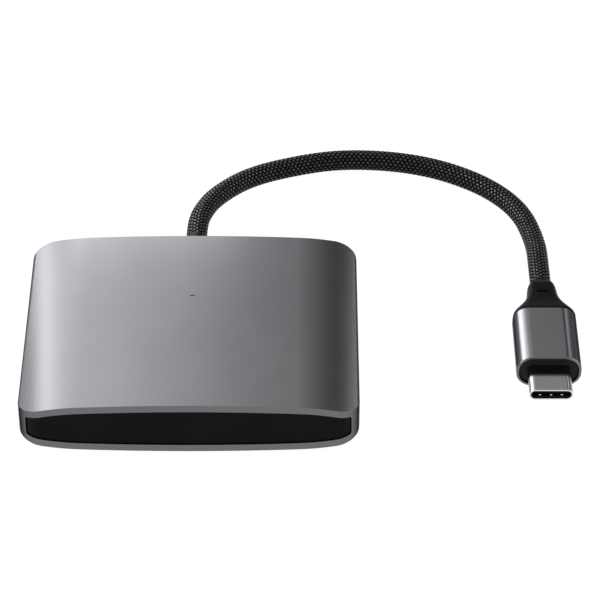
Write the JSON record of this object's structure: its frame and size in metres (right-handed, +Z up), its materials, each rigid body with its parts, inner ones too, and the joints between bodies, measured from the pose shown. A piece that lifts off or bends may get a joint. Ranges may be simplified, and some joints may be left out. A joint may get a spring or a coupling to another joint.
{
  "type": "usb hub",
  "caption": "Slim lens-section aluminium USB hub with black end panels, sockets at the rear and a short braided cable ending in a USB-C plug.",
  "frame": {"origin": "on the supporting surface, under the middle of the hub's body", "axes": "+X to the right across the hub's width, +Y to the rear, where the cable leaves, +Z up"},
  "size_m": [0.1061, 0.0907, 0.0116],
  "materials": {
    "anodised_aluminium": "fine brushed space-grey anodising",
    "satin_black_plastic": "satin black moulding",
    "black_rubber": "matt",
    "circuit_board": "dark solder mask",
    "chip_plastic": "moulded epoxy",
    "component_metal": "tinned",
    "ferrite": "pressed ferrite",
    "clear_plastic": "clear moulding",
    "ceramic": "fired ceramic",
    "lead_insulation": "extruded insulation",
    "braided_sleeving": "black nylon braid with pale flecks",
    "polished_steel": "polished stamping",
    "contact_plastic": "moulded",
    "gold_contacts": "gold plated"
  },
  "bodies": {
    "root": {"tube_housing": "anodised_aluminium", "front_panel": "satin_black_plastic", "rear_panel": "satin_black_plastic", "foot_front_left": "black_rubber", "foot_front_right": "black_rubber", "foot_rear_left": "black_rubber", "foot_rear_right": "black_rubber", "main_board": "circuit_board", "hub_controller": "chip_plastic", "power_controller": "chip_plastic", "flash_memory": "chip_plastic", "crystal": "component_metal", "inductor": "ferrite", "status_light": "clear_plastic", "capacitors": "ceramic", "resistors": "ceramic", "surge_arrays": "chip_plastic", "light_pipe": "clear_plastic", "cable_gland": "black_rubber", "cable_ferrule": "component_metal", "cable_leads": "lead_insulation", "cable": "braided_sleeving", "plug_sleeve": "anodised_aluminium", "plug_face": "satin_black_plastic", "plug_shell": "polished_steel", "plug_insulator": "contact_plastic", "plug_contacts": "gold_contacts", "plug_latches": "polished_steel", "plug_springs": "polished_steel", "plug_board": "circuit_board", "plug_shield": "component_metal", "plug_boot": "black_rubber", "port_shell_1": "polished_steel", "port_tongue_1": "contact_plastic", "port_contacts_1": "gold_contacts", "port_shell_2": "polished_steel", "port_tongue_2": "contact_plastic", "port_contacts_2": "gold_contacts", "port_shell_3": "polished_steel", "port_tongue_3": "contact_plastic", "port_contacts_3": "gold_contacts", "port_shell_4": "polished_steel", "port_tongue_4": "contact_plastic", "port_contacts_4": "gold_contacts"}
  },
  "joints": []
}
